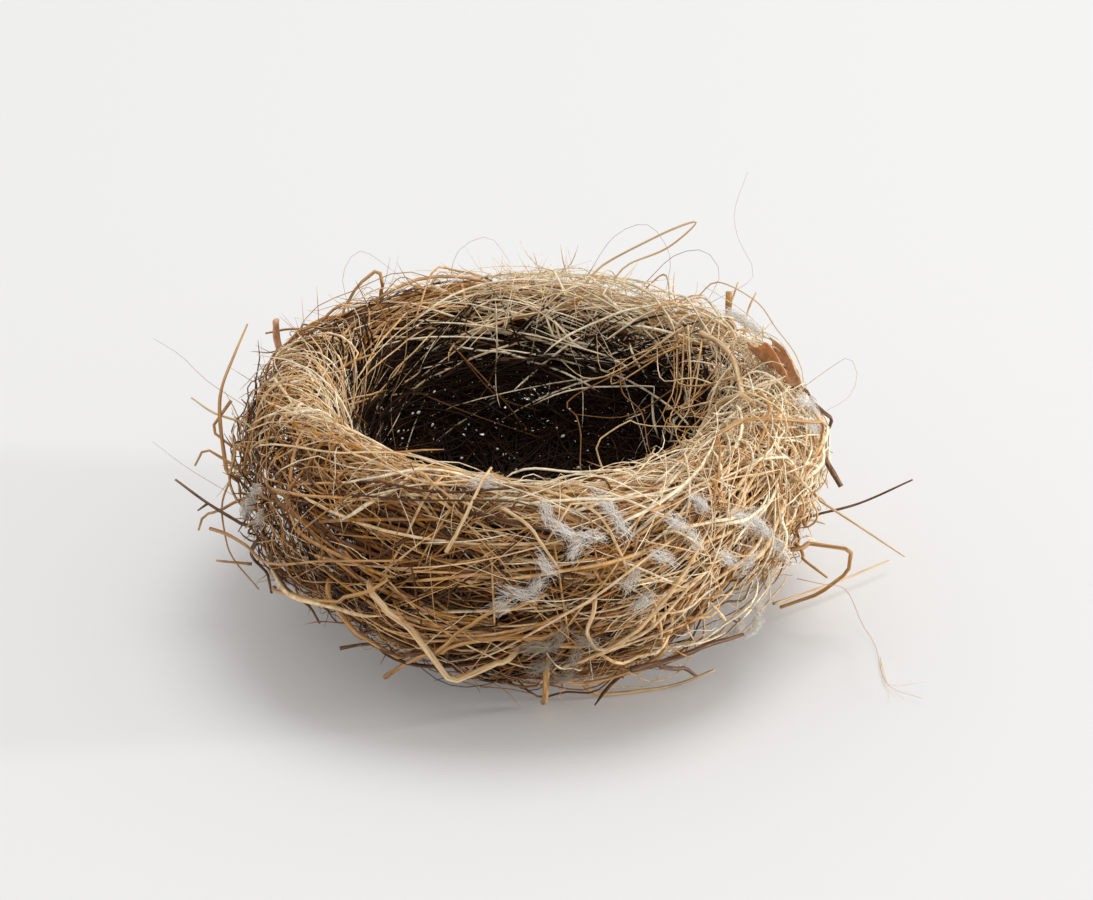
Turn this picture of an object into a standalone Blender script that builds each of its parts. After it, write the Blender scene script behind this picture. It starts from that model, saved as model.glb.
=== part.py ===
"""An empty bird nest, standing on its flat underside, in metres with +Z up.

The nest is a thick ring of wound dry grass with a closed floor, and a dark cup of fine rootlets set inside
it. Down is caught on the outside, and stems, twigs and blades stick out of the weave. The origin is the middle
of the underside. Angles go round the nest: 0 is +X, the right-hand side, and -90 is -Y, the front.
"""

import math

import bmesh
import bpy
from mathutils import Vector

# The grass wall's section: a low arc from the underside to the belly, a high one up to the crest, and one
# down inside.
BASE_RADIUS = 0.0360
BELLY_RADIUS = 0.0597
BELLY_HEIGHT = 0.0280
UNDERCUT = 1.3  # over 1, the low arc is pulled in below the belly
CREST_RADIUS = 0.0465
CREST_HEIGHT = 0.0490
THROAT_RADIUS = 0.0370
THROAT_HEIGHT = 0.0340

# The underside is drawn in at the front left, where the belly hangs clear of the ground.
DRAWN_IN = 0.0130
DRAWN_IN_UNDERCUT = 0.4
DRAWN_IN_AT = math.radians(-137)
DRAWN_IN_SPREAD = 0.7

# The wall is slimmer on the right: this much at the belly, and half of it at the crest.
SLIM = 0.0030
SLIM_AT = math.radians(5)
SLIM_SPREAD = 0.75

# The rootlet cup inside the wall.
LINING_THICKNESS = 0.0026
CUP_FLOOR_HEIGHT = 0.0100
CUP_SQUARENESS = 2.5

GAP = 0.0003
LUMP = 0.0007
WALL_SEGMENTS = 60
LOW_ROWS, HIGH_ROWS, INNER_ROWS, CUP_ROWS = 6, 6, 5, 7
LINING_SEGMENTS = 44
STEM_SIDES = 6
STEM_STEP = 0.0045  # the longest piece between two rings of a stem
KINKED_STEP = 0.0070
KINK_ROUNDING = 0.0012
PAD_SPOKES = 12
PAD_RINGS = 3
PAD_WAVES = (0.18, 0.12)
PAD_CLEARANCE = 0.0009  # the chords of the round wall, and of the pad itself, lie a little inside it
MM = 0.001


# ---------------------------------------------------------------- the section of the wall


def near(angle, centre, width):
    """1 at this centre, falling smoothly to 0 away from it."""
    away = math.remainder(angle - centre, math.tau)
    return math.exp(-((away / width) ** 2))


def lump(angle, turn):
    """The gentle unevenness of the wound grass."""
    waves = math.sin(3 * angle + 1.3) + 0.8 * math.sin(5 * angle + 3 * turn)
    waves += 0.6 * math.sin(9 * angle - 4 * turn)
    return LUMP * waves * max(0.0, math.cos(0.62 * turn))


def section(angle, turn):
    """(radius, height) on the wall. turn is -90 degrees at the underside, 0 at the belly, 90 at the crest and
    180 at the throat of the cup."""
    cos, sin = math.cos(turn), math.sin(turn)
    drawn = near(angle, DRAWN_IN_AT, DRAWN_IN_SPREAD)
    slim = SLIM * near(angle, SLIM_AT, SLIM_SPREAD)
    belly, crest = BELLY_RADIUS - slim, CREST_RADIUS - slim / 2
    if turn <= 0:
        base = BASE_RADIUS - DRAWN_IN * drawn
        radius = base + (belly - base) * max(0.0, cos) ** (UNDERCUT + DRAWN_IN_UNDERCUT * drawn)
        height = BELLY_HEIGHT * (1 + sin)
    elif turn <= math.pi / 2:
        radius = crest + (belly - crest) * cos
        height = BELLY_HEIGHT + (CREST_HEIGHT - BELLY_HEIGHT) * sin
    else:
        radius = crest + (crest - THROAT_RADIUS) * cos
        height = THROAT_HEIGHT + (CREST_HEIGHT - THROAT_HEIGHT) * sin
    return radius + lump(angle, turn) * cos, height + lump(angle, turn) * max(0.0, sin)


def cup(turn, outward):
    """(radius, height) on the bowl of the cup, this far outside the rootlets' inner face. turn is 0 at the
    throat and 90 degrees at the middle of its floor."""
    power = 2 / CUP_SQUARENESS
    radius = (THROAT_RADIUS - GAP - LINING_THICKNESS + outward) * max(0.0, math.cos(turn)) ** power
    deep = THROAT_HEIGHT - CUP_FLOOR_HEIGHT + outward
    return radius, THROAT_HEIGHT - deep * math.sin(turn) ** power


def spread(first, last, count):
    """count + 1 values from first to last."""
    return [first + (last - first) * i / count for i in range(count + 1)]


def wall_outline(angle):
    """The wall's section at this angle, from the underside's edge over the crest to the throat."""
    turns = spread(-math.pi / 2, 0, LOW_ROWS) + spread(0, math.pi / 2, HIGH_ROWS)[1:]
    turns += spread(math.pi / 2, math.pi, INNER_ROWS)[1:]
    return [section(angle, turn) for turn in turns]


def solid_outline(angle):
    """What a stem has to stay clear of at this angle: the wall, with the cup's inner face."""
    bowl = [cup(turn, 0) for turn in spread(0, math.pi / 2, CUP_ROWS)]
    return [(0.0, 0.0)] + wall_outline(angle) + bowl


# ---------------------------------------------------------------- helpers


def polar(angle, radius, height):
    return Vector((radius * math.cos(angle), radius * math.sin(angle), height))


def material(name, colour, roughness):
    found = bpy.data.materials.get(name)
    if found:
        return found
    made = bpy.data.materials.new(name)
    made.use_nodes = True
    shader = made.node_tree.nodes["Principled BSDF"]
    shader.inputs["Base Color"].default_value = (*colour, 1)
    shader.inputs["Roughness"].default_value = roughness
    made.diffuse_color = (*colour, 1)
    return made


GRASS = ("dry_grass", (0.56, 0.38, 0.19), 0.6)
PALE = ("pale_straw", (0.72, 0.58, 0.38), 0.5)
BROWN = ("brown_stem", (0.25, 0.14, 0.07), 0.65)
ROOTLET = ("rootlet", (0.045, 0.028, 0.02), 0.6)
DOWN = ("plant_down", (0.72, 0.70, 0.66), 0.9)
LEAF = ("dead_leaf", (0.42, 0.19, 0.08), 0.6)


def add(name, bm, look):
    bmesh.ops.recalc_face_normals(bm, faces=bm.faces)
    mesh = bpy.data.meshes.new(name)
    bm.to_mesh(mesh)
    bm.free()
    mesh.shade_smooth()
    mesh.materials.append(material(*look))
    made = bpy.data.objects.new(name, mesh)
    bpy.context.scene.collection.objects.link(made)
    return made


def bridge(bm, lower, upper):
    """Quads between two rings of as many points."""
    for i, point in enumerate(lower):
        after = (i + 1) % len(lower)
        bm.faces.new((point, lower[after], upper[after], upper[i]))


def close_fan(bm, ring, middle):
    tip = bm.verts.new(middle)
    for i, point in enumerate(ring):
        bm.faces.new((point, ring[(i + 1) % len(ring)], tip))


def turned(name, rows_at, segments, look, first_tip, last_tip):
    """A closed body from rows of (radius, height) that depend on the angle, with a point on the axis each way."""
    bm = bmesh.new()
    angles = [math.tau * i / segments for i in range(segments)]
    columns = [rows_at(angle) for angle in angles]
    rings = []
    for row in range(len(columns[0])):
        rings.append([bm.verts.new(polar(angle, *column[row])) for angle, column in zip(angles, columns)])
    for lower, upper in zip(rings, rings[1:]):
        bridge(bm, lower, upper)
    close_fan(bm, rings[0], (0, 0, first_tip))
    close_fan(bm, rings[-1], (0, 0, last_tip))
    return add(name, bm, look)


# ---------------------------------------------------------------- the wall and the cup


def grass_wall():
    pocket = LINING_THICKNESS + GAP
    bowl = spread(0, math.pi / 2, CUP_ROWS)[1:-1]
    turned(
        "grass_wall",
        lambda angle: wall_outline(angle) + [cup(turn, pocket) for turn in bowl],
        WALL_SEGMENTS,
        GRASS,
        0,
        CUP_FLOOR_HEIGHT - pocket,
    )


def cup_lining():
    bowl = spread(0, math.pi / 2, CUP_ROWS)[:-1]
    outer = [cup(turn, LINING_THICKNESS) for turn in reversed(bowl)]
    inner = [cup(turn, 0) for turn in bowl]
    top, bottom = CUP_FLOOR_HEIGHT, CUP_FLOOR_HEIGHT - LINING_THICKNESS
    turned("cup_lining", lambda angle: outer + inner, LINING_SEGMENTS, ROOTLET, bottom, top)


# ---------------------------------------------------------------- stems


def push_clear(angle, radius, height, need):
    """The point moved out of the nest's section, if it lies inside it or nearer to it than need."""
    outline = solid_outline(angle)
    inside, nearest, best = False, None, math.inf
    for i, (r1, z1) in enumerate(outline):
        r2, z2 = outline[(i + 1) % len(outline)]
        if (z1 > height) != (z2 > height) and radius < (r2 - r1) * (height - z1) / (z2 - z1) + r1:
            inside = not inside
        length = math.hypot(r2 - r1, z2 - z1)
        if length == 0:
            continue
        share = min(1.0, max(0.0, ((radius - r1) * (r2 - r1) + (height - z1) * (z2 - z1)) / length**2))
        near = (r1 + share * (r2 - r1), z1 + share * (z2 - z1))
        away = math.hypot(radius - near[0], height - near[1])
        if away < best:
            nearest, best = near, away
    if not inside and best >= need:
        return radius, height
    sign = -1 if inside else 1
    reach = sign * need / max(best, 1e-9)
    return nearest[0] + reach * (radius - nearest[0]), nearest[1] + reach * (height - nearest[1])


def smooth_path(points):
    """A Catmull-Rom curve through the points, with a point about every STEM_STEP."""
    ends = [2 * points[0] - points[1], *points, 2 * points[-1] - points[-2]]
    path = []
    for before, start, end, after in zip(ends, ends[1:], ends[2:], ends[3:]):
        count = max(1, math.ceil((end - start).length / STEM_STEP))
        for i in range(count):
            t = i / count
            straight = 2 * start + (end - before) * t
            bend = (2 * before - 5 * start + 4 * end - after) * t**2
            twist = (3 * start - before - 3 * end + after) * t**3
            path.append((straight + bend + twist) / 2)
    return [*path, points[-1]]


def kinked_path(points):
    """Straight runs between the points, a point about every KINKED_STEP, and each kink rounded a little."""
    corners = [points[0]]
    for before, point, after in zip(points, points[1:], points[2:]):
        back, on = before - point, after - point
        corners.append(point + back.normalized() * min(KINK_ROUNDING, back.length / 3))
        corners.append(point + on.normalized() * min(KINK_ROUNDING, on.length / 3))
    corners.append(points[-1])
    path = []
    for start, end in zip(corners, corners[1:]):
        count = math.ceil((end - start).length / KINKED_STEP)
        path += [start.lerp(end, i / count) for i in range(count)]
    return [*path, points[-1]]


def stem(name, look, width, route, kinked=False, flat=1.0, taper=0.6, over=0.0):
    """A closed tube along a route of (angle in degrees, radius in mm, height in mm). flat is its thickness
    over its width, and over lifts it past a stem that it crosses."""
    corners = [polar(math.radians(angle), radius * MM, height * MM) for angle, radius, height in route]
    path = kinked_path(corners) if kinked else smooth_path(corners)
    half = width * MM / 2
    need = half + GAP + over * MM
    clear = []
    for point in path:
        angle = math.atan2(point.y, point.x)
        radius, height = push_clear(angle, math.hypot(point.x, point.y), point.z, need)
        clear.append(polar(angle, radius, max(height, half + GAP)))
    bm = bmesh.new()
    rings = []
    side = None
    for i, point in enumerate(clear):
        along = (clear[min(i + 1, len(clear) - 1)] - clear[max(i - 1, 0)]).normalized()
        hint = side if side else Vector((point.x, point.y, 0)).cross(along)
        side = (hint - along * hint.dot(along)).normalized()
        up = along.cross(side)
        swell = 1 - (1 - taper) * i / (len(clear) - 1)
        ring = []
        for k in range(STEM_SIDES):
            turn = math.tau * k / STEM_SIDES
            out = side * math.cos(turn) + flat * up * math.sin(turn)
            ring.append(bm.verts.new(point + half * swell * out))
        rings.append(ring)
    for lower, upper in zip(rings, rings[1:]):
        bridge(bm, lower, upper)
    bm.faces.new(rings[0][::-1])
    bm.faces.new(rings[-1])
    add(name, bm, look)


def front_stems():
    stem("kinked_straw_front", PALE, 1.5,
         [(-118, 61, 30), (-111, 62, 25), (-104, 61, 14), (-95, 58, 18)],
         kinked=True, taper=0.9)
    stem("crossing_straw_front", GRASS, 1.0,
         [(-126, 48, 3), (-118, 53, 10), (-111, 58, 17), (-105, 60, 22), (-102, 60, 26), (-94, 60, 32)],
         over=0.3)
    stem("curved_straw_front", GRASS, 1.0, [(-106, 58, 21), (-101, 59, 23), (-95, 59, 24), (-88, 59, 24)])
    stem("stub_straw_front", GRASS, 1.3, [(-87, 57, 14), (-87, 52, 6), (-87, 45, 1)], taper=0.9)
    stem("long_straw_front", GRASS, 0.9, [(-84, 54, 12), (-79, 52, 10), (-71, 53, 11), (-64, 56, 15)])
    stem("trailing_straw_front", PALE, 0.9, [(-73, 44, 1), (-62, 46, 1), (-54, 49, 2), (-48, 53, 5)])
    stem("dark_twig_front", BROWN, 1.2,
         [(-71, 56, 15), (-62, 56, 15), (-54, 57, 16), (-46, 57, 15)], over=1.4)
    stem("dark_twig_low", BROWN, 1.1, [(-62, 53, 10), (-54, 50, 6), (-49, 49, 2)])
    stem("looped_straw_front", PALE, 0.9,
         [(-79, 60, 29), (-80, 60, 25), (-78, 60, 21), (-74, 60, 21), (-71, 60, 24)], over=0.3)
    stem("pale_straw_rim", PALE, 0.8,
         [(-99, 48, 50), (-92, 49, 50), (-87, 50, 49), (-79, 53, 47), (-76, 55, 45), (-73, 58, 38)])
    stem("forked_straw_rim", PALE, 0.8,
         [(-105, 58, 40), (-103, 56, 44), (-101, 52, 48), (-99, 46, 52)], over=1.1)
    stem("pale_straw_front", PALE, 0.8, [(-94, 54, 47), (-90, 56, 45), (-86, 59, 40)])


def left_stems():
    stem("long_straw_left", GRASS, 1.0,
         [(-157, 55, 13), (-144, 60, 20), (-131, 61, 25), (-120, 61, 30), (-115, 61, 34)], over=1.3)
    stem("wrapping_straw_left", GRASS, 0.7,
         [(-168, 65, 22), (-165, 62, 22), (-158, 60, 23), (-145, 61, 26), (-130, 61, 33), (-116, 60, 37)])
    stem("bowed_straw_left", BROWN, 0.7,
         [(-173, 59, 32), (-171, 62, 26), (-169, 62, 20), (-166, 61, 16), (-161, 57, 11)], over=1.0)
    stem("brown_blade_left", BROWN, 1.5,
         [(-158, 58, 21), (-159, 56, 17), (-159, 55, 11)], flat=0.4, taper=0.9)
    stem("hanging_straw_left", BROWN, 0.8, [(-146, 59, 25), (-143, 56, 20), (-139, 54, 13)])
    stem("curled_straw_left", BROWN, 0.8, [(-134, 53, 9), (-130, 50, 10), (-124, 48, 11)])
    stem("sweeping_straw_left", GRASS, 1.1, [(-128, 60, 26), (-124, 59, 21), (-119, 56, 16), (-117, 55, 14)])
    stem("twig_left", BROWN, 0.8, [(-167, 59, 23), (-169, 65, 27), (-172, 71, 31)])
    stem("bent_straw_left", GRASS, 0.7, [(-174, 59, 32), (-175, 65, 36), (-175, 67, 32)], kinked=True)
    stem("level_straw_left", PALE, 0.6, [(176, 59, 37), (175, 64, 38), (173, 69, 40)])
    stem("kinked_straw_left", GRASS, 0.7, [(177, 60, 42), (180, 64, 37), (-179, 60, 34)], kinked=True)
    stem("tall_blade_left", GRASS, 1.2,
         [(-177, 61, 30), (180, 62, 39), (176, 62, 44), (168, 61, 48), (161, 61, 51)], flat=0.4, taper=0.4)
    stem("stub_straw_left", GRASS, 0.7, [(-168, 57, 13), (-169, 64, 14)])
    stem("hooked_straw_left", GRASS, 0.7,
         [(-170, 60, 26), (-169, 63, 25), (-170, 66, 24), (-171, 67, 20)], kinked=True)


def back_stems():
    stem("orange_blade_back", LEAF, 2.2, [(151, 59, 39), (150, 61, 43), (150, 61, 47)], flat=0.25, taper=0.9)
    stem("level_straw_back", GRASS, 0.7, [(143, 57, 43), (147, 60, 44), (151, 63, 44)])
    stem("folded_blade_back", GRASS, 1.0,
         [(125, 54, 46), (125, 56, 52), (130, 57, 49), (133, 58, 44)], kinked=True, flat=0.5)
    stem("folded_straw_top", GRASS, 0.7,
         [(75, 48, 50), (71, 50, 53), (60, 56, 59), (55, 60, 61), (59, 55, 56), (66, 50, 53), (69, 48, 50)],
         taper=0.8)
    stem("dark_tipped_stem_back", PALE, 0.6, [(45, 57, 43), (45, 59, 46), (45, 61, 50)])
    stem("thin_stem_back", PALE, 0.6, [(37, 55, 43), (39, 58, 47), (39, 60, 50)])
    stem("flared_stem_back", GRASS, 1.1, [(41, 54, 42), (42, 55, 44), (43, 56, 50)], taper=1.3)
    stem("seed_stem_back", PALE, 0.6,
         [(56, 54, 45), (52, 56, 46), (48, 58, 50), (39, 60, 48), (30, 58, 46), (21, 57, 45), (10, 55, 46),
          (1, 54, 47)])


def right_stems():
    stem("twig_right", BROWN, 1.1, [(3, 56, 34), (0, 59, 30), (-3, 62, 26)], taper=1.1)
    stem("curled_stem_right", BROWN, 1.0, [(2, 54, 44), (0, 58, 41), (2, 60, 38), (0, 58, 35)])
    stem("looped_straw_right", GRASS, 0.9,
         [(-38, 46, 50), (-31, 47, 51), (-25, 50, 50), (-15, 56, 46), (-11, 58, 44), (-12, 58, 41),
          (-15, 57, 38)], over=0.4)
    stem("leaning_straw_right", GRASS, 0.8, [(-13, 46, 50), (-20, 49, 50), (-31, 51, 48)])
    stem("grey_straw_right", BROWN, 0.6, [(-8, 57, 22), (-9, 66, 26), (-9, 76, 32)])
    stem("yellow_straw_right", PALE, 0.6, [(-10, 57, 27), (-13, 65, 24), (-15, 76, 19)])
    stem("folded_straw_right", GRASS, 0.9,
         [(-20, 56, 22), (-18, 66, 21), (-15, 65, 14), (-18, 60, 10), (-17, 52, 5)], kinked=True, taper=0.8)
    stem("short_straw_right", GRASS, 0.8, [(-23, 56, 21), (-26, 64, 19)])
    stem("seed_straw_right", PALE, 0.6, [(-14, 50, 4), (-2, 61, 3), (6, 74, 3)])
    stem("thick_stem_rim", PALE, 1.2,
         [(31, 41, 48), (20, 41, 49), (9, 41, 49), (-2, 41, 49), (-10, 42, 49)], taper=0.9)
    stem("crossing_stem_rim", PALE, 1.2,
         [(-15, 42, 50), (-8, 37, 45), (-10, 34, 40), (-24, 34, 38), (-33, 38, 42)], taper=0.8, over=0.3)


# ---------------------------------------------------------------- down and leaf scraps


def wall_place(angle, turn, outward):
    """The point this far out of the wall's surface."""
    step = 0.02
    (r1, z1), (r2, z2) = section(angle, turn - step), section(angle, turn + step)
    length = math.hypot(r2 - r1, z2 - z1)
    radius, height = section(angle, turn)
    return polar(angle, radius + outward * (z2 - z1) / length, height - outward * (r2 - r1) / length)


def pad(name, look, angle, turn, half_round, half_up, thickness, lift=0.0):
    """A domed pad that lies on the wall, its middle at this angle and section turn, in degrees and mm. lift
    raises its upper edge off the wall."""
    middle, tilt = math.radians(angle), math.radians(turn)
    arc = math.hypot(BELLY_RADIUS - CREST_RADIUS, CREST_HEIGHT - BELLY_HEIGHT)
    spokes = [math.tau * i / PAD_SPOKES for i in range(PAD_SPOKES)]
    slow, quick = PAD_WAVES
    bm = bmesh.new()

    def spot(across, up, share):
        radius, _ = section(middle, tilt)
        dome = thickness * MM * math.sqrt(max(0.0, 1 - across**2 - up**2)) + GAP
        raised = PAD_CLEARANCE + lift * MM * (up + 1) / 2
        around = middle + across * half_round * MM / radius
        return wall_place(around, tilt + up * half_up * MM / arc, raised + share * dome)

    def sheet(share):
        """The pad's under side, or with share 1 its upper side, as rings about a middle. Returns the last ring."""
        rings = []
        for k in range(1, PAD_RINGS + 1):
            ring = []
            for spoke in spokes:
                uneven = 1 + slow * math.sin(2 * spoke + middle) + quick * math.sin(5 * spoke)
                rho = uneven / (1 + slow + quick) * k / PAD_RINGS
                ring.append(bm.verts.new(spot(rho * math.cos(spoke), rho * math.sin(spoke), share)))
            rings.append(ring)
        close_fan(bm, rings[0], spot(0, 0, share))
        for inner, outer in zip(rings, rings[1:]):
            bridge(bm, inner, outer)
        return rings[-1]

    bridge(bm, sheet(0), sheet(1))
    add(name, bm, look)


def down_tufts():
    pad("down_tuft_front_high", DOWN, -81, 50, 4.5, 4.0, 1.8)
    pad("down_tuft_front_mid", DOWN, -91, 16, 4.5, 2.5, 1.2)
    pad("down_tuft_front_low", DOWN, -85, -13, 5.0, 3.0, 1.8)
    pad("down_tuft_front_right", DOWN, -61, 40, 4.0, 3.5, 1.6)
    pad("down_tuft_side_right", DOWN, -42, 20, 4.5, 6.0, 1.6)
    pad("down_tuft_low_right", DOWN, -40, -28, 3.5, 3.5, 2.2)
    pad("down_tuft_right", DOWN, -8, 50, 2.8, 4.0, 2.2)
    pad("down_tuft_back_right", DOWN, 30, 70, 3.5, 2.5, 1.5)
    pad("down_tuft_left", DOWN, -154, 18, 3.6, 3.6, 1.6)
    pad("down_tuft_low_left", DOWN, -169, -42, 2.4, 3.0, 2.0)


def leaf_scraps():
    pad("leaf_scrap_right", LEAF, 8, 72, 6.5, 3.0, 0.7, lift=2.5)


def main():
    for old in list(bpy.data.objects):
        bpy.data.objects.remove(old, do_unlink=True)
    grass_wall()
    cup_lining()
    front_stems()
    left_stems()
    back_stems()
    right_stems()
    down_tufts()
    leaf_scraps()


main()
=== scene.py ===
"""The looks of an empty bird nest: a thick ring of wound dry grass, a cup of fine dark rootlets, tufts of
down, a curled scrap of leaf, and the straws, blades and twigs that lie on it or stand out of it.

Everything is in the CAD's frame, in metres. Angles go round the nest: 0 is +X, the right-hand side, and -90
is -Y, the front. A turn goes over the wall's section: -90 degrees at the underside's edge, 0 at the belly, 90
at the crest and 180 at the throat of the cup. Grass is made of closed tubes that wander over that surface.
"""

import math
from functools import partial

import bpy
import numpy as np
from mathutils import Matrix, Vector


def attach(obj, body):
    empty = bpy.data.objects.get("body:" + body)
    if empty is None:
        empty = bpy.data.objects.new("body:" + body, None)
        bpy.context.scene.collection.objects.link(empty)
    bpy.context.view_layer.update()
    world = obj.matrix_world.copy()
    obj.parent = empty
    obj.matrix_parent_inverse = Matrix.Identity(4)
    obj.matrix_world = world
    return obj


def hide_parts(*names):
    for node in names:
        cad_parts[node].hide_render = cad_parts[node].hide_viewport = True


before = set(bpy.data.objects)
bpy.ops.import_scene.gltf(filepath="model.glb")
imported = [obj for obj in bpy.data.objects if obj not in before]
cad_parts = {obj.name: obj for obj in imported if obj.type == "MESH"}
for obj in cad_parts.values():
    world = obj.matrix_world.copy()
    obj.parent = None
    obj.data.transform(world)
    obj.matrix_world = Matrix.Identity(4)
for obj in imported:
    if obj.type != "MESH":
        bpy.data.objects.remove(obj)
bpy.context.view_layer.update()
rng = np.random.default_rng(11)

MM = 0.001

# The wall's section, as the solids have it.
BASE_RADIUS = 0.0360
BELLY_RADIUS = 0.0597
BELLY_HEIGHT = 0.0280
UNDERCUT = 1.3
CREST_RADIUS = 0.0465
CREST_HEIGHT = 0.0490
THROAT_RADIUS = 0.0370
THROAT_HEIGHT = 0.0340
DRAWN_IN = 0.0130
DRAWN_IN_UNDERCUT = 0.4
DRAWN_IN_AT = math.radians(-137)
DRAWN_IN_SPREAD = 0.7
SLIM = 0.0030
SLIM_AT = math.radians(5)
SLIM_SPREAD = 0.75
LUMP = 0.0007
PAST_THROAT = (0.0110, 0.0150)  # how far strands that pass the throat go inward and down for each radian

# The rootlet cup: a superellipse turned about the axis.
CUP_RADIUS = 0.0341
CUP_DEEP = 0.0240
CUP_SQUARENESS = 2.5
CUP_SWAY = 0.1  # how much rootlets turn from one point to the next

# A strand's colour is read from its place in a map of columns, dark at the left and pale at the right.
COLUMNS = 64
COLUMN_EDGE = 0.1  # the share of a column's width left free at each side
STRAND_RUN = 0.3  # the share of a column's height that one strand takes
WHOLE_EDGE = 0.02  # a stem that is a piece of its own takes the whole map but for this edge
UV_MAP = "OFBake"
GROUND = 0.00002  # nothing goes below this height

# Painted shade: strands deep in the wall are darkened for the shade that the grass above them casts.
PAINTED_SHADE_DEEP = 92  # how much darker strands are for each metre below the surface of the wall
WEAVE = 0.0006  # how far strands run over and under each other
DIVE = 0.0012  # how deep most strands' ends go
NARROWEST = 0.45  # a tapering strand's end over its width

# Named stems and blades.
GAP = 0.0003
STEM_STEP = 0.0015
KINK_ROUNDING = 0.0012
STEM_SIDES = 8
SHOOT_SHARE = 0.7  # a side shoot's width over its stem's
LIFT = 0.0006  # how far stems stand off the nest, past GAP, to lie on the loose grass
TOUCHING = 0.0016  # a stem's end this near the nest runs on into it
RUN_IN = ((0.0012, 0.5), (0.0013, 1.0), (0.0014, 1.6))  # steps, and how steeply each goes inward


# -------- the nest's surfaces


def near(angle, centre, width):
    """1 at this angle, falling smoothly to 0 away from it."""
    away = np.remainder(angle - centre + math.pi, math.tau) - math.pi
    return np.exp(-((away / width) ** 2))


def section(angle, turn):
    """(radius, height) on the wall at an angle and turn. Past the throat it goes down over the lining."""
    cos, sin = np.cos(turn), np.sin(turn)
    inner = np.minimum(turn, math.pi)
    past = turn - inner
    drawn = near(angle, DRAWN_IN_AT, DRAWN_IN_SPREAD)
    slim = SLIM * near(angle, SLIM_AT, SLIM_SPREAD)
    belly, crest = BELLY_RADIUS - slim, CREST_RADIUS - slim / 2
    base = BASE_RADIUS - DRAWN_IN * drawn
    stretches = [turn <= 0, turn <= math.pi / 2]
    radius = np.select(
        stretches,
        [
            base + (belly - base) * np.maximum(0, cos) ** (UNDERCUT + DRAWN_IN_UNDERCUT * drawn),
            crest + (belly - crest) * cos,
        ],
        crest + (crest - THROAT_RADIUS) * np.cos(inner),
    )
    height = np.select(
        stretches,
        [BELLY_HEIGHT * (1 + sin), BELLY_HEIGHT + (CREST_HEIGHT - BELLY_HEIGHT) * sin],
        THROAT_HEIGHT + (CREST_HEIGHT - THROAT_HEIGHT) * np.sin(inner),
    )
    radius = radius - PAST_THROAT[0] * past
    height = height - PAST_THROAT[1] * past
    waves = np.sin(3 * angle + 1.3) + 0.8 * np.sin(5 * angle + 3 * turn) + 0.6 * np.sin(9 * angle - 4 * turn)
    lump = LUMP * waves * np.maximum(0, np.cos(0.62 * turn))
    return radius + lump * cos, height + lump * np.maximum(0, sin)


def polar(angle, radius, height):
    return np.stack([radius * np.cos(angle), radius * np.sin(angle), height], axis=-1)


def slope(angle, turn):
    """(radius, height) per turn on the wall."""
    step = 0.03
    r1, z1 = section(angle, turn - step)
    r2, z2 = section(angle, turn + step)
    return (r2 - r1) / (2 * step), (z2 - z1) / (2 * step)


def wall_point(angle, turn, out):
    """The point this far out of the wall's surface."""
    radius, height = section(angle, turn)
    dr, dz = slope(angle, turn)
    length = np.hypot(dr, dz)
    return polar(angle, radius + out * dz / length, height - out * dr / length)


# -------- tubes


def unit(vectors):
    return vectors / np.maximum(np.linalg.norm(vectors, axis=-1, keepdims=True), 1e-12)


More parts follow.
